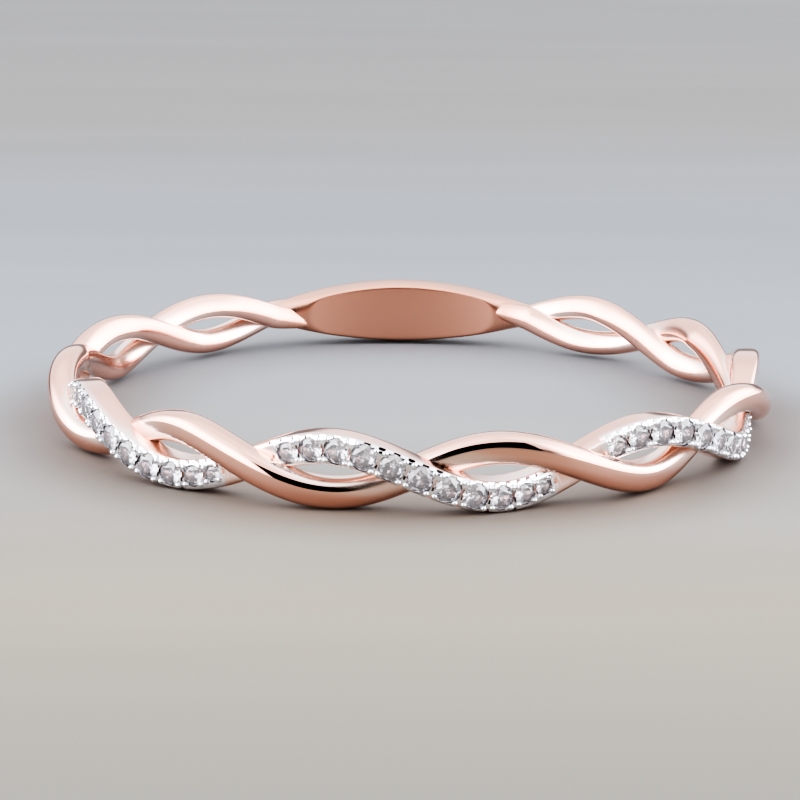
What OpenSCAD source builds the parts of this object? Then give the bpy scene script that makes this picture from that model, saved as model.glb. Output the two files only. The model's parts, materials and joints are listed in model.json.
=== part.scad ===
// Twist ring: two metal strands wound round each other into an open rope-like band.
// One strand carries three rows of small cut stones, the other is plain and polished.
// At the back the strands run into a plain leaf-shaped plate.
// Millimetres. The origin is the middle of the finger opening, +Z is its axis,
// and the front of the ring is on the -Y side. Angles run from the front towards +X.

/* [Finger opening] */
// Inside diameter, about US size 7
bore_d = 17.3; // [16.5:0.1:20]

/* [Twist] */
// Height of the band at the front, from the lowest to the highest strand
band_h = 1.91; // [1.85:0.01:2]
// How far a strand swings outwards or inwards where the strands cross
swing_r = 0.26; // [0.24:0.01:0.3]
// Crossings between the front one and the plate, on each side
side_crossings = 6; // [4:2:6]
// Angle from one crossing to the next
cross_step = 25.8; // [25:0.1:27]
// Share by which the strands are smaller at the back than at the front
back_taper = 0.12; // [0:0.01:0.2]

/* [Strands] */
// Height of a strand's section
strand_h = 0.78; // [0.72:0.01:0.84]
// Thickness of a strand's section, from the finger outwards
strand_t = 0.82; // [0.78:0.01:0.9]
// Space between the finger and a strand midway between two crossings
finger_gap = 0.055; // [0.02:0.005:0.08]

/* [Back plate] */
// Height of the plate in its middle
plate_h = 1.76; // [1.6:0.01:1.85]
// Height of the plate at its pointed ends
plate_end_h = 0.56; // [0.5:0.01:0.6]
// Thickness of the plate in its middle
plate_t = 1.05; // [0.95:0.01:1.1]

/* [Stones] */
// Stones in each of the three rows
row_stones = 11; // [5:2:11]
// Diameter of a row's middle stone, across its girdle
stone_d = 0.66; // [0.55:0.01:0.66]
// Share by which the first stone of a row is smaller than its middle one
first_drop = 0.18; // [0.15:0.01:0.3]
// Share by which the last stone of a row is smaller than its middle one
last_drop = 0.38; // [0.15:0.01:0.4]
// Space between one stone and the next
stone_gap = 0.065; // [0.065:0.005:0.08]
// Height of the middle stone's crown, from girdle to table
crown_h = 0.1; // [0.08:0.01:0.12]
// Depth of the middle stone's pavilion, below its girdle
pavilion_h = 0.22; // [0.18:0.01:0.24]
// Diameter of the flat table, as a share of the stone's diameter
table_share = 0.58; // [0.5:0.01:0.65]

/* [Hidden] */
// Middle radius of the twist, and how far a strand swings up and down
bore_r = bore_d / 2;
twist_r = bore_r + strand_t / 2 + finger_gap;
swing_z = (band_h - strand_h) / 2;
// Angle of the last crossing before the plate, and what is left from there to the back
last_cross = side_crossings * cross_step;
plate_span = 180 - last_cross;

// Strands are named by the side they are on at the front crossing
OUTER = 1;
INNER = -1;

// Sections are superellipses: a low power is round, a high one is square
section_sides = 16;
stone_strand_power = 6;
plain_strand_power = 2.7;
plate_power = 3;

// Sweeps: a ring of points at each step, and how far a strand's end is buried in the plate
sweep_step = 3.2;
buried_angle = 9;
plate_rings = 17;
// The plate's ends lie this far below the strand that passes over them
plate_step = 0.03;
// Metal inside the finger opening that the bore takes off
bore_allowance = 0.1;
// Half of the angle over which a direction is measured
tiny = 0.1;

// Girdle band of a stone, its depth below the metal, and the clearance of its seat
girdle_h = 0.02;
girdle_sink = 0.07;
seat_gap = 0.015;
seat_sides = 8;
// The seat's cutter reaches this far above the girdle, clear of the metal
seat_rise = 0.3;
seat_tip_r = 0.05;
// Sides of a stone's table and of its girdle
table_sides = 8;
girdle_sides = 16;

metal_colour = [0.91, 0.64, 0.54];
stone_colour = [0.93, 0.95, 0.98];

// Crossings in the middle of the three stone rows
ROW_CROSSINGS = [-2, 0, 2];
stone_count = row_stones * len(ROW_CROSSINGS);
half_row = (row_stones - 1) / 2;
function stone_name(i) = str("stone_", i < 10 ? "0" : "", i);

// Vectors
function unit(v) = v / norm(v);
function across(v, axis) = unit(v - axis * (v * axis));
function outwards(a) = [sin(a), -cos(a), 0];
function at(a, r, z) = outwards(a) * r + [0, 0, z];

// The twist: from one crossing to the next the strands make half a turn. Past the last
// crossing the turn slows down, so that the strands follow the edges of the plate.
function taper(a) = 1 - back_taper * (1 - cos(a)) / 2;
function turn(a) = abs(a) <= last_cross
    ? 180 * a / cross_step
    : sign(a) * (180 * side_crossings + 90 * (abs(a) - last_cross) / plate_span);
function strand_point(side, a) =
    let (size = side * taper(a))
    at(a, twist_r + size * swing_r * cos(turn(a)), -size * swing_z * sin(turn(a)));

// Directions at one place on a strand: along it, out of the ring, and up across it
function along(side, a) = unit(strand_point(side, a + tiny) - strand_point(side, a - tiny));
function out_of(side, a) = across(outwards(a), along(side, a));
function up_over(side, a) = cross(out_of(side, a), along(side, a));

// One ring of points round a section of half sizes t and h
function signed_power(x, p) = sign(x) * pow(abs(x), p);
function section(centre, out, up, t, h, power) =
    [for (i = [0 : section_sides - 1])
        let (c = 360 * (i + 0.5) / section_sides)
        centre + out * t * signed_power(cos(c), 2 / power) + up * h * signed_power(sin(c), 2 / power)];

// Solid through a list of equal rings of points
module skin(rings) {
    n = len(rings[0]);
    last = len(rings) - 1;
    sides = [for (j = [0 : last - 1], i = [0 : n - 1])
        let (a = j * n + i, b = j * n + (i + 1) % n)
        each [[a, b, b + n], [a, b + n, a + n]]];
    caps = [[for (i = [n - 1 : -1 : 0]) i], [for (i = [0 : n - 1]) last * n + i]];
    polyhedron(points = [for (ring = rings) each ring], faces = concat(sides, caps));
}

module strand(side, power) {
    end = last_cross + buried_angle;
    steps = ceil(2 * end / sweep_step);
    skin([for (j = [0 : steps])
        let (a = -end + 2 * end * j / steps, s = taper(a))
        section(strand_point(side, a), out_of(side, a), up_over(side, a),
            s * strand_t / 2, s * strand_h / 2, power)]);
}

// The leaf: as thick as the crossed strands at its ends, thinner and taller in its middle
module plate() {
    end_out = twist_r + (swing_r + strand_t / 2) * taper(last_cross) - plate_step;
    mid_out = bore_r + plate_t;
    inner = bore_r - bore_allowance;
    skin([for (j = [0 : plate_rings - 1])
        let (
            a = last_cross + 2 * plate_span * j / (plate_rings - 1),
            s = cos(90 * (a - 180) / plate_span),
            outer = end_out + (mid_out - end_out) * s,
            h = plate_end_h + (plate_h - plate_end_h) * s
        )
        section(at(a, (outer + inner) / 2, 0), outwards(a), [0, 0, 1],
            (outer - inner) / 2, h / 2, plate_power)]);
}

// The line that the stones' girdles follow, and how far it runs in one degree
function girdle_point(a) =
    strand_point(OUTER, a) + out_of(OUTER, a) * (taper(a) * strand_t / 2 - girdle_sink);
function girdle_speed(a) = norm(girdle_point(a + tiny) - girdle_point(a - tiny)) / (2 * tiny);

// Places in a row are counted from its middle stone, and the stones get smaller away from it
function stone_size(place) =
    stone_d * (1 - (place < 0 ? first_drop : last_drop) * pow(abs(place) / half_row, 3));

// Angle that many places before or past the middle of a row, walked there stone by stone
function walk(middle, way, places) = places == 0
    ? middle
    : let (
        before = walk(middle, way, places - 1),
        step = (stone_size(way * (places - 1)) + stone_size(way * places)) / 2 + stone_gap,
        half_way = before + way * step / 2 / girdle_speed(before)
    )
    before + way * step / girdle_speed(half_way);

// Place and angle of a stone, counted from 1 through the three rows
function stone_place(i) = (i - 1) % row_stones - half_row;
function stone_angle(i) =
    let (middle = ROW_CROSSINGS[floor((i - 1) / row_stones)] * cross_step)
    walk(middle, sign(stone_place(i)), abs(stone_place(i)));

// Puts what is modelled on +Z on the girdle line at angle a, with +X along the strand
module on_strand(a) {
    x = along(OUTER, a);
    y = up_over(OUTER, a);
    out = out_of(OUTER, a);
    p = girdle_point(a);
    multmatrix([for (k = [0 : 2]) [x[k], y[k], out[k], p[k]]]) children();
}

// Cutter of the seat of a stone of diameter d: a cone round the pavilion, and a prism above it
module seat(d) {
    r = (d / 2 + seat_gap) / cos(180 / seat_sides);
    deep = pavilion_h * r / (stone_d / 2) + girdle_h + seat_gap;
    skin([for (s = [[seat_tip_r, -deep], [r, -girdle_h], [r, seat_rise]])
        [for (i = [0 : seat_sides - 1])
            let (c = -360 * (i + 0.5) / seat_sides)
            [s[0] * cos(c), s[0] * sin(c), s[1]]]]);
}

// Stone of diameter d with an eight-sided table, crown facets and a pointed pavilion
module cut_stone(d) {
    r = d / 2;
    half = girdle_h / 2;
    crown = crown_h * d / stone_d;
    pavilion = pavilion_h * d / stone_d;
    table_r = r * table_share;
    wheel = 360 / girdle_sides;
    girdle = [for (z = [half, -half], i = [0 : girdle_sides - 1])
        [r * cos(i * wheel), r * sin(i * wheel), z]];
    table = [for (i = [0 : table_sides - 1])
        let (c = (2 * i + 1) * wheel)
        [table_r * cos(c), table_r * sin(c), crown]];
    culet = [[0, 0, -pavilion]];
    first_table = 2 * girdle_sides;
    tip = first_table + table_sides;
    slopes = [for (i = [0 : table_sides - 1])
        let (
            g0 = 2 * i,
            g1 = 2 * i + 1,
            g2 = (2 * i + 2) % girdle_sides,
            t1 = first_table + i,
            t0 = first_table + (i + table_sides - 1) % table_sides
        )
        each [[g0, t1, g1], [g1, t1, g2], [g0, t0, t1]]];
    waist = [for (i = [0 : girdle_sides - 1])
        let (a = i, b = (i + 1) % girdle_sides)
        each [
            [a, b, b + girdle_sides],
            [a, b + girdle_sides, a + girdle_sides],
            [b + girdle_sides, tip, a + girdle_sides]
        ]];
    top = [[for (i = [table_sides - 1 : -1 : 0]) first_table + i]];
    polyhedron(points = concat(girdle, table, culet), faces = concat(slopes, waist, top));
}

module band() {
    color(metal_colour)
        difference() {
            resize([0, 0, band_h])
                difference() {
                    union() {
                        strand(OUTER, stone_strand_power);
                        strand(INNER, plain_strand_power);
                        plate();
                    }
                    for (i = [1 : stone_count])
                        on_strand(stone_angle(i)) seat(stone_size(stone_place(i)));
                }
            cylinder(r = bore_r, h = 2 * band_h, center = true, $fn = 180);
        }
}

module stone(i) {
    color(stone_colour)
        on_strand(stone_angle(i)) cut_stone(stone_size(stone_place(i)));
}

band();
for (i = [1 : stone_count]) stone(i);
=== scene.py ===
"""Twist ring: a polished strand and a stone-set strand wound round each other, lying on a pale floor.

All modelling is in millimetres, in the part's own frame, and each mesh is scaled to metres once.
Angles are in degrees round the ring, from the front crossing towards +X.
A pair of values is a range over which something fades in, fades out or changes.
"""

import json
import math

import bpy
import numpy as np
from mathutils import Matrix, Vector


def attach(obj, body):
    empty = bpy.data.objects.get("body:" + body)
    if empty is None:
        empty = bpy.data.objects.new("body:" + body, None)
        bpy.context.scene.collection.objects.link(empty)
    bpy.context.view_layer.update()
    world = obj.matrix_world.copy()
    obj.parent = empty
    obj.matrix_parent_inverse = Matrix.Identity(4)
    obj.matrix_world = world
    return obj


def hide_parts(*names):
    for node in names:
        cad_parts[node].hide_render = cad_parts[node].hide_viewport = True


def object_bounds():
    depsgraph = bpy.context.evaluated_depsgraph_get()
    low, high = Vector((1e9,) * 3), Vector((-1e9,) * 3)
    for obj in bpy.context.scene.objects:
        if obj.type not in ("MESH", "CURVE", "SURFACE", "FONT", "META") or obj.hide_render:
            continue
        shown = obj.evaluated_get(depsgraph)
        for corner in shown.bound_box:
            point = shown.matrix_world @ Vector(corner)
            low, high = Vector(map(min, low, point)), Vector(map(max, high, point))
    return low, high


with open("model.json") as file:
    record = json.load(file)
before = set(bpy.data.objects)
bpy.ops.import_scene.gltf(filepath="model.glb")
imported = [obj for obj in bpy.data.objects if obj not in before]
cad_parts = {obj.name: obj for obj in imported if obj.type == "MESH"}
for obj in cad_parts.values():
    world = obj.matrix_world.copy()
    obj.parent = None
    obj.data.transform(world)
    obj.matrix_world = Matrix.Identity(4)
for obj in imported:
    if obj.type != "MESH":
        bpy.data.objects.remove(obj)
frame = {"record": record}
cad_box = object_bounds()

MM = 0.001

# Radius of the finger opening, and height of the band at the front
BORE_R = frame["record"]["mounts"][0]["dims"]["r_mm"]
BAND_H = (cad_box[1].z - cad_box[0].z) / MM
# How far a strand swings outwards or inwards where the strands cross
SWING_R = 0.26
# Crossings between the front one and the plate on each side, and the angle from one to the next
SIDE_CROSSINGS = 6
CROSS_STEP = 25.8
# Share by which the strands are smaller at the back than at the front
BACK_TAPER = 0.12
# Height and thickness of a strand, and its space to the finger midway between two crossings
STRAND_H = 0.78
STRAND_T = 0.82
FINGER_GAP = 0.055
# Middle radius of the twist, how far a strand swings up and down, and the angle left to the back
TWIST_R = BORE_R + STRAND_T / 2 + FINGER_GAP
SWING_Z = (BAND_H - STRAND_H) / 2
LAST_CROSS = SIDE_CROSSINGS * CROSS_STEP
PLATE_SPAN = 180 - LAST_CROSS
# Strands are named by the side they are on at the front crossing
OUTER = 1
INNER = -1

# Sections are superellipses: a low power is round, a high one is square. Both strands get rounder
# towards the back, and on the finger side each one is as thin as the opening asks.
STONE_STRAND_POWER = 6
PLAIN_STRAND_POWER = 2.7
BACK_POWER = 2.2
STONE_STRAND_ROUNDING = (78, 112)
PLAIN_STRAND_ROUNDING = (40, 70)
THINNING = 0.012
# Behind the stone rows the finger side of each strand leans outwards by this share
LEAN = 0.35
LEAN_RISE = (78, 112)
SECTION_SIDES = 44
SWEEP_STEPS = 780
# Strands end inside the plate, this far past the last crossing and shrunk by this share
END_ANGLE = 11
END_SHRINK = 0.85
END_SHRINK_POWER = 1.5

# Back plate, whose swell is 0 at its pointed ends and 1 in its middle. Its ends lie a step below
# the strand that passes over them.
PLATE_H = 1.76
PLATE_END_H = 0.56
PLATE_T = 1.05
PLATE_STEP = 0.03
PLATE_SIDES = 60
PLATE_RINGS = 90
# Values of the swell between which its section gets square, and its recessed inside comes level
PLATE_POWER = 4.5
PLATE_SQUARING = (0.15, 0.7)
PLATE_RECESS = 0.34
PLATE_LEVELLING = (0, 0.62)

# The finger opening: metal inside it before it is opened, and the rounding of its edges
BORE_ALLOWANCE = 0.1
BORE_ROUNDING = 0.004

# Stone rows: the crossings in their middles, and the drop in size of their first and last stones
ROW_CROSSINGS = (-2, 0, 2)
ROW_STONES = 11
HALF_ROW = (ROW_STONES - 1) // 2
FIRST_DROP = 0.18
LAST_DROP = 0.38
DROP_POWER = 3
STONE_GAP = 0.065
GIRDLE_SINK = 0.07

# The middle stone, with the radii of its table, star and lower facets as shares of its own
STONE_D = 0.66
GIRDLE_H = 0.02
CROWN_H = 0.1
PAVILION_H = 0.22
TABLE_SHARE = 0.58
STAR_SHARE = 0.8
LOWER_SHARE = 0.3
TABLE_SIDES = 8
GIRDLE_SIDES = 2 * TABLE_SIDES
SPIN_SEED = 7

# Cuts and beads round the stones. Heights are over the girdles, and all cuts end clear above the
# metal. Halves are the right halves of outlines in (along, up), and profiles are (radius, height).
CUT_TOP = 0.3
SEAT_GAP = 0.012
SEAT_TIP_R = 0.04
SEAT_TIP_SPACE = 0.035
SEAT_SIDES = 32
SCALLOP_HALF = [
    (0.0, -0.25),
    (0.05, -0.335),
    (0.1, -0.38),
    (0.17, -0.405),
    (0.24, -0.415),
    (0.24, -0.5),
]
SCALLOP_FLOOR = -0.16
SLIT_HALF = [(0.026, 0.15), (0.026, -0.15)]
SLIT_FLOOR = -0.12
DIMPLE_PROFILE = [(0.015, -0.03), (0.06, 0.08), (0.07, CUT_TOP)]
BEAD_PROFILE = [(0.05, -0.08), (0.07, 0.02), (0.07, 0.07), (0.056, 0.104), (0.03, 0.122)]
BEAD_SPACE = 0.045
SMALL_SIDES = 12
# Angle from the end of a row to its dimple
DIMPLE_STEP = 0.5

# Edges that turn by more than this angle stay sharp on the band
SHARP_ANGLE = 38

# Rose gold on the open surfaces, a paler tone between the strands as painted light, a browner
# tone on the plate as painted shade, and the white plating
ROSE = (0.81, 0.452, 0.352)
HOLLOW_PAINTED_LIGHT = (0.9, 0.67, 0.58)
PLATE_PAINTED_SHADE = (0.73, 0.365, 0.25)
WHITE_METAL = (0.84, 0.855, 0.88)
# Faint clouds in the metal's colour and polish
CLOUD_SCALE = 450
CLOUD_DETAIL = 3
CLOUD_RANGE = (0.3, 0.7)
CLOUD_SHADE = 0.97
POLISH = (0.04, 0.09)
# Roughness that is added at the back of the ring, between the strands and on the plate
BACK_WEAR = 0.1
HOLLOW_WEAR = 0.2
HOLLOW_WEAR_POWER = 4
PLATE_WEAR = 0.24

# Metal counts as hollow by how near it is to the other strand, whose surface is at level 1, and by
# how much it looks that way, and there it gets a paler tone as painted light. At the last crossing the
# marks change over from hollow to plate, whose browner tone is painted shade, and the plate's own
# fades out across its rim, towards its outer side.
HOLLOW_LEVEL = (2.2, 3.1)
HOLLOW_FACING = (-0.5, 0.2)
HOLLOW_END = (LAST_CROSS - 2, LAST_CROSS + 2)
PLATE_START = (LAST_CROSS - 1, LAST_CROSS + 6)
PLATE_RIM = (BORE_R + 0.8, BORE_R + 1.02)

# White plating by height over the girdles and distance from their line: the top face, the seats,
# and the upper edge of the strand. It ends past a row's last gaps, and off the plain strand.
TOP_FACE_HEIGHT = (-0.03, 0.02)
TOP_FACE_SIDE = (0.355, 0.385)
SEAT_WHITENESS = 0.48
SEAT_HEIGHT = (-0.5, -0.4)
SEAT_SIDE = (0.34, 0.36)
EDGE_WHITENESS = 0.45
EDGE_HEIGHT = (-0.2, -0.03)
EDGE_SIDE = (0.3, 0.36)
ROW_END = (-0.2, 0.9)
PLAIN_STRAND_LEVEL = (1.05, 1.15)

# Stones, with a faint cloud between two tints
STONE_TRANSMISSION = 0.9
STONE_IOR = 2.2
STONE_CLOUD_SCALE = 1500
STONE_TINTS = ((0.79, 0.745, 0.785), (0.94, 0.915, 0.935))

# Floor, with half of its width
FLOOR_HALF = 3000
FLOOR_ROUGHNESS = 0.7
# Its common level, and its tones at distances behind the ring's middle from near to far
FLOOR_LEVEL = 0.164
FLOOR_NEAR = -40
FLOOR_FAR = 100
FLOOR_TONES = (
    (-36, (0.69, 0.69, 0.61)),
    (-16, (1.18, 1.02, 0.79)),
    (4, (1.09, 1.15, 1.22)),
    (27, (0.85, 0.91, 0.98)),
    (54, (0.76, 0.71, 0.67)),
    (90, (0.67, 0.65, 0.63)),
)
# Faint streaks along X
GRAIN_STRETCH = (25, 190, 1)
GRAIN_DETAIL = 5
GRAIN_RANGE = (0.3, 0.7)
GRAIN_SHADE = (0.93, 0.915, 0.9)
# Warm shade of the ring on the floor, the radii over which it comes and goes, and the distances
# behind the ring's middle over which it falls to a share
SHADE = (0.86, 0.76, 0.71)
SHADE_INSIDE = (5.5, 8.5)
SHADE_OUTSIDE = (9.8, 12.5)
SHADE_BEHIND = (1, 7)
SHADE_BEHIND_SHARE = 0.2

# Light of the studio, whose elevations and azimuths are in degrees: a ceiling over a dim horizon
LIGHT_TINT = (0.96, 0.99, 1.05)
HORIZON_RISE = (8, 15)
HORIZON_LEVEL = 0.2
CEILING_RISE = (33, 56)
CEILING_LEVELS = (1.5, 1.95)
# Windows at both sides, the azimuth of the middle between them, and their reach from there
WINDOW_MIDDLE = 7
WINDOW_START = (24, 48)
WINDOW_END = (115, 145)
WINDOW_FALL = (25, 62)
WINDOW_LEVELS = (4.4, 0.6)
# Dark card in front of the ring: its upper edge, its side edges and how much light it takes away
CARD_TOP = (42, 46)
CARD_SIDES = (26, 28)
CARD_SHARE = 0.995


# The twist

def unit(v):
    """Vectors of length 1 that point as v does."""
    return v / np.linalg.norm(v, axis=-1, keepdims=True)


def rise(x, low, high):
    """Smooth step from 0 at low to 1 at high."""
    t = np.clip((x - low) / (high - low), 0, 1)
    return t * t * (3 - 2 * t)


def fall(x, low, high):
    """Smooth step from 1 at low to 0 at high."""
    return 1 - rise(x, low, high)


def outwards(a):
    """Directions away from the ring's axis."""
    r = np.radians(a)
    return np.stack([np.sin(r), -np.cos(r), np.zeros_like(r)], -1)


def angle_of(points):
    """Angles round the ring, which outwards takes back to directions."""
    return np.degrees(np.arctan2(points[:, 0], -points[:, 1]))


def at(a, r, z):
    """Points at angles, radii and heights."""
    place = outwards(a) * np.asarray(r)[..., None]
    place[..., 2] = z
    return place


def taper(a):
    """Size of a strand at angle a, as a share of its size at the front."""
    return 1 - BACK_TAPER * (1 - np.cos(np.radians(a))) / 2


def turn(a):
    """How far the strands are twisted at angle a. Past the last crossing the turn slows down."""
    past = 180 * SIDE_CROSSINGS + 90 * (np.abs(a) - LAST_CROSS) / PLATE_SPAN
    return np.radians(np.where(np.abs(a) <= LAST_CROSS, 180 * a / CROSS_STEP, np.sign(a) * past))


def strand_point(side, a):
    """Middle of a strand at angle a."""
    size = side * taper(a)
    return at(a, TWIST_R + size * SWING_R * np.cos(turn(a)), -size * SWING_Z * np.sin(turn(a)))


def strand_axes(side, a):
    """Directions at angle a: along the strand, up across it and out of the ring."""
    tiny = 0.05
    along = unit(strand_point(side, a + tiny) - strand_point(side, a - tiny))
    radial = outwards(a)
    out = unit(radial - along * np.sum(along * radial, -1, keepdims=True))
    return along, np.cross(out, along), out


def girdle_point(a):
    """Point at angle a of the line that the stones' girdles follow."""
    out = strand_axes(OUTER, a)[2]
    return strand_point(OUTER, a) + out * (taper(a) * STRAND_T / 2 - GIRDLE_SINK)[..., None]


def stone_size(place):
    """Diameter of the stone at a place in its row, counted from the middle stone."""
    drop = FIRST_DROP if place < 0 else LAST_DROP
    return STONE_D * (1 - drop * (abs(place) / HALF_ROW) ** DROP_POWER)


def forward(a, distance):
    """Angle reached from a after a distance along the line of the girdles."""
    tiny = 0.1
    steps = 4
    for _ in range(steps):
        ends = girdle_point(np.array([a + tiny, a - tiny]))
        a += distance / steps / (np.linalg.norm(ends[0] - ends[1]) / (2 * tiny))
    return a


def row_places(row):
    """Sizes and angles of a row's stones, and the angles of the gaps between and beside them."""
    angles = {0: ROW_CROSSINGS[row] * CROSS_STEP}
    gaps = []
    for way in (-1, 1):
        for place in range(1, HALF_ROW + 1):
            before = stone_size(way * (place - 1))
            size = stone_size(way * place)
            a = angles[way * (place - 1)]
            gaps.append(forward(a, way * (before + STONE_GAP) / 2))
            angles[way * place] = forward(a, way * ((before + size) / 2 + STONE_GAP))
        gaps.append(forward(angles[way * HALF_ROW], way * (size + STONE_GAP) / 2))
    places = range(-HALF_ROW, HALF_ROW + 1)
    return [stone_size(k) for k in places], [angles[k] for k in places], sorted(gaps)


# Mesh making

def section(power, sides):
    """Points round superellipses of half size 1, as (out, up) pairs, one ring for each power."""
    c = 2 * np.pi * (np.arange(sides) + 0.5) / sides
    share = 2 / np.atleast_1d(power)[:, None]
    waves = np.stack([np.cos(c), np.sin(c)], -1)
    return np.sign(waves) * np.abs(waves) ** share[..., None]


def skin(rings):
    """Vertices and faces of the solid through rings of points, clockwise seen from the last ring."""
    count, sides = rings.shape[:2]
    a = np.arange(count - 1)[:, None] * sides + np.arange(sides)
    b = np.arange(count - 1)[:, None] * sides + (np.arange(sides) + 1) % sides
    walls = np.stack([a, a + sides, b + sides, b], -1).reshape(-1, 4)
    last = (count - 1) * sides
    caps = [list(range(sides)), [last + i for i in range(sides - 1, -1, -1)]]
    return rings.reshape(-1, 3), walls.tolist() + caps


def make_object(name, parts):
    """One mesh object, in millimetres, from a list of (vertices, faces)."""
    verts = []
    faces = []
    first = 0
    for points, polygons in parts:
        verts.append(points)
        faces += [[first + i for i in polygon] for polygon in polygons]
        first += len(points)
    mesh = bpy.data.meshes.new(name)
    mesh.from_pydata(np.concatenate(verts).tolist(), [], faces)
    mesh.update()
    made = bpy.data.objects.new(name, mesh)
    bpy.context.scene.collection.objects.link(made)
    return made


def combine(target, tool, operation):
    """Joins tool to target or cuts it out, and deletes it."""
    modifier = target.modifiers.new("combine", "BOOLEAN")
    modifier.object = tool
    modifier.operation = operation
    modifier.solver = "MANIFOLD"
    graph = bpy.context.evaluated_depsgraph_get()
    old = target.data
    target.data = bpy.data.meshes.new_from_object(target.evaluated_get(graph))
    target.modifiers.clear()
    bpy.data.meshes.remove(old)
    bpy.data.objects.remove(tool)


def read_vectors(mesh, name):
    """Points or normals of a mesh's vertices, by the name co or normal."""
    vectors = np.empty(len(mesh.vertices) * 3, np.float32)
    mesh.vertices.foreach_get(name, vectors)
    return vectors.reshape(-1, 3).astype(float)


# The band

def strand(side, power, rounding):
    """A swept strand, whose ends shrink away inside the plate."""
    end = LAST_CROSS + END_ANGLE
    a = np.linspace(-end, end, SWEEP_STEPS)
    shrink = np.clip((np.abs(a) - LAST_CROSS) / END_ANGLE, 0, 1)
    size = taper(a) * (1 - END_SHRINK * shrink ** END_SHRINK_POWER)
    centre = strand_point(side, a)
    _, up, out = strand_axes(side, a)
    shape = section(power + (BACK_POWER - power) * rise(np.abs(a), *rounding), SECTION_SIDES)
    half_t = size * STRAND_T / 2
    half_h = size * STRAND_H / 2
    spare = np.hypot(centre[:, 0], centre[:, 1]) - BORE_R
    inner_t = half_t - THINNING * np.logaddexp(0, (half_t - spare) / THINNING)
    lean = LEAN * rise(np.abs(a), *LEAN_RISE)[:, None]
    inner_t = inner_t[:, None] * (1 - lean * shape[..., 1]) / (1 + lean ** 2 / 2)
    t = np.where(shape[..., 0] > 0, half_t[:, None], inner_t)
    rings = (
        centre[:, None]
        + out[:, None] * (t * shape[..., 0])[..., None]
        + up[:, None] * (half_h[:, None] * shape[..., 1])[..., None]
    )
    return skin(rings)


def plate():
    """The leaf: as thick as the crossed strands at its ends, thinner and taller in its middle."""
    a = LAST_CROSS + 2 * PLATE_SPAN * np.linspace(0, 1, PLATE_RINGS)
    swell = np.cos(np.radians(90 * (a - 180) / PLATE_SPAN))
    end_out = TWIST_R + (SWING_R + STRAND_T / 2) * taper(LAST_CROSS) - PLATE_STEP
    outer = end_out + (BORE_R + PLATE_T - end_out) * swell
    inner = BORE_R - BORE_ALLOWANCE + PLATE_RECESS * fall(swell, *PLATE_LEVELLING)
    h = PLATE_END_H + (PLATE_H - PLATE_END_H) * swell
    power = BACK_POWER + (PLATE_POWER - BACK_POWER) * rise(swell, *PLATE_SQUARING)
    shape = section(power, PLATE_SIDES)
    r = (outer + inner)[:, None] / 2 + (outer - inner)[:, None] / 2 * shape[..., 0]
    rings = outwards(a)[:, None] * r[..., None]
    rings[..., 2] = h[:, None] / 2 * shape[..., 1]
    return skin(rings)


def open_bore(mesh):
    """Presses all metal inside the finger opening onto its wall, with softly rounded edges."""
    points = read_vectors(mesh, "co")
    r = np.hypot(points[:, 0], points[:, 1])
    opened = BORE_R + BORE_ROUNDING * np.logaddexp(0, (r - BORE_R) / BORE_ROUNDING)
    points[:, :2] *= (opened / r)[:, None]
    mesh.vertices.foreach_set("co", points.astype(np.float32).ravel())
    mesh.update()


def on_strand(a, points):
    """Moves points from stone space, girdle at height 0 and +X along the strand, to angle a."""
    a = np.array(a)
    along, up, out = strand_axes(OUTER, a)
    return girdle_point(a) + points @ np.stack([along, up, out])


def turned(profile, sides, centre=(0, 0)):
    """Solid of revolution about +Z through (radius, height) pairs, from the bottom up."""
    c = 2 * np.pi * (np.arange(sides) + 0.5) / sides
    ring = np.stack([np.cos(c), np.sin(c)], -1)
    rings = np.array([[(*(centre + r * p), z) for p in ring] for r, z in profile])
    return skin(rings[:, ::-1])


def notch(half_shape, floor):
    """Upright cut from a floor up, by the right half of its outline, which runs downwards."""
    flat = half_shape + [(-x, y) for x, y in reversed(half_shape) if x]
    return skin(np.array([[(x, y, z) for x, y in flat] for z in (floor, CUT_TOP)]))


def seat(size):
    """Cutter of a stone's seat: a cone round the pavilion and a round shaft above it."""
    r = size / 2 + SEAT_GAP
    deep = PAVILION_H * r / (STONE_D / 2) + SEAT_TIP_SPACE
    return turned([(SEAT_TIP_R, -deep), (r, -GIRDLE_H), (r, CUT_TOP)], SEAT_SIDES)


def scallop():
    """Wide rounded cut in the lower rim, between two stones."""
    return notch(SCALLOP_HALF, SCALLOP_FLOOR)


def slit():
    """Narrow opening down between two stones."""
    return notch(SLIT_HALF, SLIT_FLOOR)


def bright_cut():
    """Short shallow cut along the upper rim, with a flat bottom that leans upwards."""
    lower_half, lower_y, lower_z = 0.1, 0.3, 0.008
    upper_half, upper_y, upper_z = 0.08, 0.42, -0.034
    bottom = [
        (-lower_half, lower_y, lower_z),
        (lower_half, lower_y, lower_z),
        (upper_half, upper_y, upper_z),
        (-upper_half, upper_y, upper_z),
    ]
    top = [(x, y, CUT_TOP) for x, y, _ in bottom]
    return skin(np.array([bottom, top])[:, ::-1])


def beads_of(size):
    """Four beads round a stone."""
    reach = (size / 2 + BEAD_SPACE) * math.sqrt(0.5)
    places = [(x, y) for x in (-reach, reach) for y in (-reach, reach)]
    return [turned(BEAD_PROFILE, SMALL_SIDES, place) for place in places]


def dimple():
    """Cutter of the small round hollow past the end of a row."""
    return turned(DIMPLE_PROFILE, SMALL_SIDES)


def moved(part, a):
    """A part in stone space, moved to angle a."""
    points, faces = part
    return on_strand(a, points), faces


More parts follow.
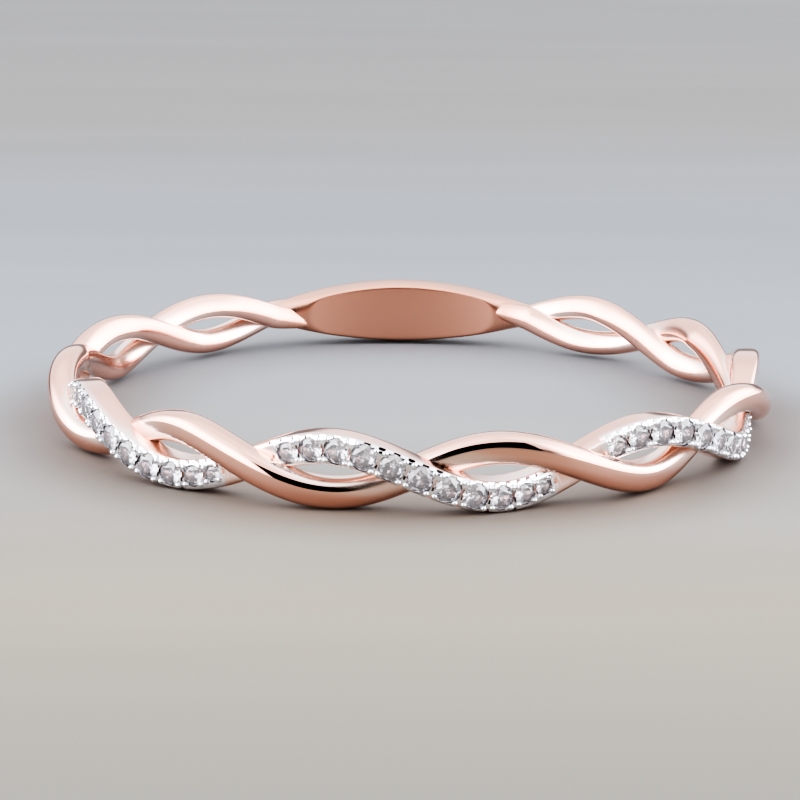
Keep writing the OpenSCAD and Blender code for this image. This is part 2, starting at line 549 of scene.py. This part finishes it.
def make_band():
    """Cuts and beads the stone strand, joins the other metal to it and opens the bore."""
    band = make_object("band_metal", [strand(OUTER, STONE_STRAND_POWER, STONE_STRAND_ROUNDING)])
    seats = []
    notches = []
    dimples = []
    beads = []
    for row in range(len(ROW_CROSSINGS)):
        sizes, stones, gaps = row_places(row)
        for size, a in zip(sizes, stones):
            seats.append(moved(seat(size), a))
            beads += [moved(bead, a) for bead in beads_of(size)]
        notches += [moved(scallop(), a) for a in gaps[2:-2]]
        notches += [moved(slit(), a) for a in gaps[1:-1]]
        notches += [moved(bright_cut(), a) for a in sorted(gaps + stones)]
        dimples.append(moved(dimple(), gaps[0] - DIMPLE_STEP))
        dimples.append(moved(dimple(), gaps[-1] + DIMPLE_STEP))
    combine(band, make_object("seats", seats), "DIFFERENCE")
    combine(band, make_object("notches", notches), "DIFFERENCE")
    combine(band, make_object("dimples", dimples), "DIFFERENCE")
    combine(band, make_object("beads", beads), "UNION")
    plain_strand = strand(INNER, PLAIN_STRAND_POWER, PLAIN_STRAND_ROUNDING)
    combine(band, make_object("strand", [plain_strand]), "UNION")
    combine(band, make_object("plate", [plate()]), "UNION")
    open_bore(band.data)
    return band


# The stones

def facet_ring(count, radius, z, shift):
    """Corners at equal angles, which are turned by a share of the angle between two of them."""
    c = 2 * np.pi * (np.arange(count) + shift) / count
    return np.stack([radius * np.cos(c), radius * np.sin(c), np.full(count, z)], -1)


def brilliant():
    """Round brilliant with a table, star, kite and girdle facets, of the middle stone's size."""
    r = STONE_D / 2
    half = GIRDLE_H / 2
    flat_share = math.cos(math.pi / TABLE_SIDES)
    table_r = r * TABLE_SHARE
    star_r = r * STAR_SHARE
    star_z = half + (CROWN_H - half) * (r - star_r * flat_share) / (r - table_r)
    lower_r = r * LOWER_SHARE
    lower_z = -PAVILION_H + (PAVILION_H - half) * lower_r * flat_share / r
    points = np.concatenate([
        facet_ring(TABLE_SIDES, table_r, CROWN_H, 0),
        facet_ring(TABLE_SIDES, star_r, star_z, 0.5),
        facet_ring(GIRDLE_SIDES, r, half, 0),
        facet_ring(GIRDLE_SIDES, r, -half, 0),
        facet_ring(TABLE_SIDES, lower_r, lower_z, 0.5),
        [[0, 0, -PAVILION_H]],
    ])
    table = 0
    star = table + TABLE_SIDES
    top = star + TABLE_SIDES
    bottom = top + GIRDLE_SIDES
    lower = bottom + GIRDLE_SIDES
    culet = lower + TABLE_SIDES
    faces = [[table + i for i in range(TABLE_SIDES)]]
    for i in range(TABLE_SIDES):
        after = (i + 1) % TABLE_SIDES
        before = (i - 1) % TABLE_SIDES
        corner = 2 * i
        half_way = corner + 1
        next_corner = (corner + 2) % GIRDLE_SIDES
        faces += [
            [table + i, star + i, table + after],
            [table + i, star + before, top + corner, star + i],
            [star + i, top + corner, top + half_way],
            [star + i, top + half_way, top + next_corner],
            [top + corner, bottom + corner, bottom + half_way, top + half_way],
            [top + half_way, bottom + half_way, bottom + next_corner, top + next_corner],
            [bottom + corner, lower + i, bottom + half_way],
            [bottom + half_way, lower + i, bottom + next_corner],
            [bottom + corner, lower + before, culet, lower + i],
        ]
    return points, faces


def make_stones(material):
    """Places a brilliant in each seat, turned at random about its own axis by up to a facet."""
    points, faces = brilliant()
    facet_angle = 2 * math.pi / TABLE_SIDES
    stone_count = ROW_STONES * len(ROW_CROSSINGS)
    spins = np.random.default_rng(SPIN_SEED).uniform(0, facet_angle, stone_count)
    number = 0
    for row in range(len(ROW_CROSSINGS)):
        sizes, angles, _ = row_places(row)
        for size, a in zip(sizes, angles):
            c = math.cos(spins[number])
            s = math.sin(spins[number])
            spin = np.array([[c, s, 0], [-s, c, 0], [0, 0, 1]]) * size / STONE_D
            number += 1
            node = f"stone_{number:02d}"
            stone = make_object(f"cut_{node}", [(on_strand(a, points @ spin), faces)])
            finish_piece(stone, material, [node])


# Nodes of materials and light

def add_node(tree, kind, inputs, **settings):
    """Adds a node. Each of its inputs gets a plain value, or a link from another node's output."""
    node = tree.nodes.new(f"ShaderNode{kind}")
    for name, value in settings.items():
        setattr(node, name, value)
    for key, value in inputs.items():
        if isinstance(value, bpy.types.NodeSocket):
            tree.links.new(value, node.inputs[key])
        else:
            node.inputs[key].default_value = value
    return node


def math_node(tree, operation, first, second=0.0):
    return add_node(tree, "Math", {0: first, 1: second}, operation=operation).outputs[0]


def multiply(tree, first, second):
    return math_node(tree, "MULTIPLY", first, second)


def map_range(tree, value, source, target, interpolation="SMOOTHSTEP"):
    """Takes a value from one range to another, and holds it at the ends."""
    ends = {
        "Value": value,
        "From Min": source[0],
        "From Max": source[1],
        "To Min": target[0],
        "To Max": target[1],
    }
    return add_node(tree, "MapRange", ends, interpolation_type=interpolation).outputs["Result"]


def noise(tree, place, scale, detail=2):
    inputs = {"Vector": place, "Scale": scale, "Detail": detail}
    return add_node(tree, "TexNoise", inputs).outputs["Fac"]


def colour_ramp(tree, factor, stops):
    """Colour by a factor, from stops that are (position, colour) pairs in rising order."""
    node = add_node(tree, "ValToRGB", {"Fac": factor})
    elements = node.color_ramp.elements
    while len(elements) < len(stops):
        elements.new(0.5)
    for element, (position, colour) in zip(elements, stops):
        element.position = position
        element.color = (*colour, 1)
    return node.outputs["Color"]


def mix_colours(tree, factor, first, second, blend="MIX"):
    inputs = {"Factor": factor, "A": first, "B": second}
    return add_node(tree, "Mix", inputs, data_type="RGBA", blend_type=blend).outputs["Result"]


def object_place(tree):
    """Place on the piece itself, in metres."""
    return tree.nodes.new("ShaderNodeTexCoord").outputs["Object"]


def read_mark(tree, name):
    """Value of a mark that is written on the mesh's vertices."""
    return add_node(tree, "Attribute", {}, attribute_name=name).outputs["Fac"]


def in_metres(lengths):
    return [length * MM for length in lengths]


# Materials

def new_material(name):
    material = bpy.data.materials.new(name)
    material.use_nodes = True
    tree = material.node_tree
    return material, tree, tree.nodes["Principled BSDF"]


def rose_gold():
    """Polished metal, which its marks make whiter where plated and duller where worn; they also paint
    a paler tone between the strands as light and a browner tone on the plate as shade.
    """
    material, tree, shader = new_material("rose_gold")
    shader.inputs["Metallic"].default_value = 1
    cloud = noise(tree, object_place(tree), CLOUD_SCALE, CLOUD_DETAIL)
    shaded_rose = [c * CLOUD_SHADE for c in ROSE]
    colour = colour_ramp(tree, cloud, [(CLOUD_RANGE[0], shaded_rose), (CLOUD_RANGE[1], ROSE)])
    # A paler painted light between the strands, a browner painted shade on the plate, then the white
    # plating
    for name, other in (("hollow", HOLLOW_PAINTED_LIGHT), ("plate_painted_shade", PLATE_PAINTED_SHADE), ("plating", WHITE_METAL)):
        colour = mix_colours(tree, read_mark(tree, name), colour, (*other, 1))
    tree.links.new(colour, shader.inputs["Base Color"])
    polish = map_range(tree, cloud, (0, 1), POLISH, "LINEAR")
    roughness = math_node(tree, "ADD", polish, read_mark(tree, "wear"))
    tree.links.new(roughness, shader.inputs["Roughness"])
    return material


def cut_stone_material():
    """Clear stone with a faint grey and rose cloud in it."""
    material, tree, shader = new_material("cut_stone")
    shader.inputs["Transmission Weight"].default_value = STONE_TRANSMISSION
    shader.inputs["IOR"].default_value = STONE_IOR
    shader.inputs["Roughness"].default_value = 0
    cloud = noise(tree, object_place(tree), STONE_CLOUD_SCALE)
    tint = colour_ramp(tree, cloud, [(0, STONE_TINTS[0]), (1, STONE_TINTS[1])])
    tree.links.new(tint, shader.inputs["Base Color"])
    return material


def floor_tone(tree, y):
    """Tone by distance behind the ring's middle: warm in front, cool beyond, grey far away."""
    depth = map_range(tree, y, in_metres((FLOOR_NEAR, FLOOR_FAR)), (0, 1), "LINEAR")
    stops = []
    for distance, tone in FLOOR_TONES:
        position = (distance - FLOOR_NEAR) / (FLOOR_FAR - FLOOR_NEAR)
        stops.append((position, [c * FLOOR_LEVEL for c in tone]))
    return colour_ramp(tree, depth, stops)


def floor_grain(tree, place):
    """Faint streaks along X, as a shade to multiply with."""
    stretch = add_node(tree, "Mapping", {"Vector": place, "Scale": GRAIN_STRETCH})
    grain = noise(tree, stretch.outputs["Vector"], 1, GRAIN_DETAIL)
    return colour_ramp(tree, grain, [(GRAIN_RANGE[0], GRAIN_SHADE), (GRAIN_RANGE[1], (1, 1, 1))])


def shade_share(tree, place, y):
    """How much a place on the floor lies in the ring's shade."""
    reach = add_node(tree, "VectorMath", {0: place}, operation="LENGTH").outputs["Value"]
    inside = map_range(tree, reach, in_metres(SHADE_INSIDE), (0, 1))
    outside = map_range(tree, reach, in_metres(SHADE_OUTSIDE), (1, 0))
    behind = map_range(tree, y, in_metres(SHADE_BEHIND), (1, SHADE_BEHIND_SHARE))
    return multiply(tree, multiply(tree, inside, outside), behind)


def floor_material():
    """Pale and matt, with streaks and the ring's warm shade."""
    material, tree, shader = new_material("floor")
    shader.inputs["Roughness"].default_value = FLOOR_ROUGHNESS
    place = object_place(tree)
    y = add_node(tree, "SeparateXYZ", {0: place}).outputs["Y"]
    colour = mix_colours(tree, 1, floor_tone(tree, y), floor_grain(tree, place), "MULTIPLY")
    colour = mix_colours(tree, shade_share(tree, place, y), colour, (*SHADE, 1), "MULTIPLY")
    tree.links.new(colour, shader.inputs["Base Color"])
    return material


# Marks on the metal, which its material reads

def nearest_angle(points, side):
    """Angle of the place on a strand's middle line that lies nearest to each point."""
    rounds = 3
    a = angle_of(points)
    for _ in range(rounds):
        along = strand_axes(side, a)[0]
        a = a + np.degrees(np.sum((points - strand_point(side, a)) * along, -1) / TWIST_R)
    return a


def section_level(points, a, side):
    """How far points near angle a lie from the middle of a strand: 1 on its surface."""
    _, up, out = strand_axes(side, a)
    away = points - strand_point(side, a)
    t = np.abs(np.sum(away * out, -1)) / (taper(a) * STRAND_T / 2)
    h = np.abs(np.sum(away * up, -1)) / (taper(a) * STRAND_H / 2)
    return (t ** PLAIN_STRAND_POWER + h ** PLAIN_STRAND_POWER) ** (1 / PLAIN_STRAND_POWER)


def write_mark(mesh, name, values):
    """Writes a value for each vertex, which read_mark reads in a material."""
    mesh.attributes.new(name, "FLOAT", "POINT").data.foreach_set("value", values.astype(np.float32))


def mark_hollows(mesh):
    """Marks metal that looks at the other strand from close by, for a paler painted light, the plate,
    for a browner painted shade, and where wear is.
    """
    points = read_vectors(mesh, "co")
    normals = read_vectors(mesh, "normal")
    hollow = np.zeros(len(points))
    for side in (OUTER, INNER):
        a = nearest_angle(points, side)
        facing = np.sum(normals * unit(strand_point(side, a) - points), -1)
        close = fall(section_level(points, a, side), *HOLLOW_LEVEL)
        hollow = np.maximum(hollow, close * rise(facing, *HOLLOW_FACING))
    angle = np.abs(angle_of(points))
    hollow *= fall(angle, *HOLLOW_END)
    on_plate = rise(angle, *PLATE_START) * fall(np.hypot(points[:, 0], points[:, 1]), *PLATE_RIM)
    wear = np.maximum(PLATE_WEAR * on_plate, BACK_WEAR * rise(angle, *LEAN_RISE))
    # Masks of the paler painted light between the strands and of the browner painted shade on the
    # plate
    write_mark(mesh, "hollow", hollow)
    write_mark(mesh, "plate_painted_shade", on_plate)
    write_mark(mesh, "wear", np.maximum(wear, HOLLOW_WEAR * hollow ** HOLLOW_WEAR_POWER))


def mark_plating(mesh):
    """Marks how white the metal is at each point: 1 round the stones and 0 on the rest."""
    points = read_vectors(mesh, "co")
    a = nearest_angle(points, OUTER)
    _, up, out = strand_axes(OUTER, a)
    away = points - girdle_point(a)
    height = np.sum(away * out, -1)
    above = np.sum(away * up, -1)
    beside = np.abs(above)
    top_face = rise(height, *TOP_FACE_HEIGHT) * fall(beside, *TOP_FACE_SIDE)
    in_seats = SEAT_WHITENESS * rise(height, *SEAT_HEIGHT) * fall(beside, *SEAT_SIDE)
    upper_edge = EDGE_WHITENESS * rise(height, *EDGE_HEIGHT) * rise(above, *EDGE_SIDE)
    white = np.maximum(np.maximum(top_face, in_seats), upper_edge)
    inside_row = np.zeros(len(a))
    for row in range(len(ROW_CROSSINGS)):
        gaps = row_places(row)[2]
        beyond = np.maximum(gaps[0] - a, a - gaps[-1])
        inside_row = np.maximum(inside_row, fall(beyond, *ROW_END))
    plain_level = section_level(points, nearest_angle(points, INNER), INNER)
    off_plain = rise(plain_level, *PLAIN_STRAND_LEVEL)
    write_mark(mesh, "plating", inside_row * white * off_plain)


# Finishing

def finish_piece(piece, material, nodes):
    """Scales a piece to metres, gives it its material, hangs it under the root and hides the solids
    that it stands for.
    """
    piece.data.transform(Matrix.Scale(MM, 4))
    piece.data.materials.clear()
    piece.data.materials.append(material)
    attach(piece, "root")
    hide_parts(*nodes)


def smooth_but_for_edges(mesh):
    mesh.shade_smooth()
    mesh.set_sharp_from_angle(angle=math.radians(SHARP_ANGLE))


# Stage, light and camera

def make_floor():
    """A wide plane that the ring lies on."""
    z = cad_box[0].z / MM
    half = FLOOR_HALF
    corners = np.array([(-half, -half, z), (half, -half, z), (half, half, z), (-half, half, z)])
    floor = make_object("floor", [(corners, [[0, 1, 2, 3]])])
    floor.data.transform(Matrix.Scale(MM, 4))
    floor.data.materials.append(floor_material())


def make_light():
    """A ceiling, two bright windows and a dark card, painted on the world round the ring.

    The ring mirrors the card, which keeps out of the picture itself.
    """
    world = bpy.data.worlds.new("studio")
    bpy.context.scene.world = world
    world.use_nodes = True
    tree = world.node_tree
    direction = tree.nodes.new("ShaderNodeTexCoord").outputs["Generated"]
    x, y, z = add_node(tree, "SeparateXYZ", {0: direction}).outputs
    elevation = math_node(tree, "DEGREES", math_node(tree, "ARCSINE", z))
    azimuth = math_node(tree, "DEGREES", math_node(tree, "ARCTAN2", x, multiply(tree, y, -1)))
    from_front = math_node(tree, "ABSOLUTE", azimuth)
    from_middle = math_node(tree, "ABSOLUTE", math_node(tree, "SUBTRACT", azimuth, WINDOW_MIDDLE))

    horizon = map_range(tree, elevation, HORIZON_RISE, (HORIZON_LEVEL, 1))
    ceiling = multiply(tree, horizon, map_range(tree, elevation, CEILING_RISE, CEILING_LEVELS))
    past_start = map_range(tree, from_middle, WINDOW_START, (0, 1))
    before_end = map_range(tree, from_middle, WINDOW_END, (1, 0))
    window_level = map_range(tree, elevation, WINDOW_FALL, WINDOW_LEVELS)
    windows = multiply(tree, multiply(tree, past_start, before_end), window_level)
    bright = math_node(tree, "ADD", ceiling, windows)

    below_top = map_range(tree, elevation, CARD_TOP, (1, 0))
    between_sides = map_range(tree, from_front, CARD_SIDES, (1, 0))
    in_picture = tree.nodes.new("ShaderNodeLightPath").outputs["Is Camera Ray"]
    in_mirror = math_node(tree, "SUBTRACT", 1, in_picture)
    card = multiply(tree, multiply(tree, below_top, between_sides), in_mirror)
    past_card = math_node(tree, "SUBTRACT", 1, multiply(tree, card, CARD_SHARE))

    background = tree.nodes["Background"]
    background.inputs["Color"].default_value = (*LIGHT_TINT, 1)
    tree.links.new(multiply(tree, bright, past_card), background.inputs["Strength"])


def make_camera():
    """Set by the ring's outlines in the photograph, with its distance in millimetres.

    A pixel of the photograph is 1/800 of the frame.
    """
    image_px = 800
    focal_px = 2860.6
    centre_px = (8.95, 18.1)
    distance = 77.4
    elevation = math.radians(13.75)
    azimuth = math.radians(-1.76)
    roll = math.radians(0.77)
    back = Vector((
        math.sin(azimuth) * math.cos(elevation),
        -math.cos(azimuth) * math.cos(elevation),
        math.sin(elevation),
    ))
    right = Vector((math.cos(azimuth), math.sin(azimuth), 0))
    up = back.cross(right)
    right, up = (
        right * math.cos(roll) + up * math.sin(roll),
        up * math.cos(roll) - right * math.sin(roll),
    )
    pixel = distance / focal_px
    aim = -right * centre_px[0] * pixel - up * centre_px[1] * pixel
    place = back * distance
    look = (aim - place).normalized()
    right = look.cross(up).normalized()
    up = right.cross(look)
    data = bpy.data.cameras.new("camera")
    data.sensor_width = 36
    data.lens = focal_px * data.sensor_width / image_px
    data.clip_start = 0.001
    data.clip_end = 20
    camera = bpy.data.objects.new("camera", data)
    bpy.context.scene.collection.objects.link(camera)
    axes = Matrix((right, up, -look)).transposed().to_4x4()
    camera.matrix_world = Matrix.Translation(place * MM) @ axes
    bpy.context.scene.camera = camera


def set_view():
    """Tones of the picture, with bright whites and deep darks as in the photograph."""
    view = bpy.context.scene.view_settings
    view.view_transform = "AgX"
    view.look = "AgX - Very High Contrast"
    view.exposure = 0


# The whole scene

band = make_band()
mark_plating(band.data)
mark_hollows(band.data)
smooth_but_for_edges(band.data)
finish_piece(band, rose_gold(), ["band"])
make_stones(cut_stone_material())
make_floor()
make_light()
make_camera()
set_view()
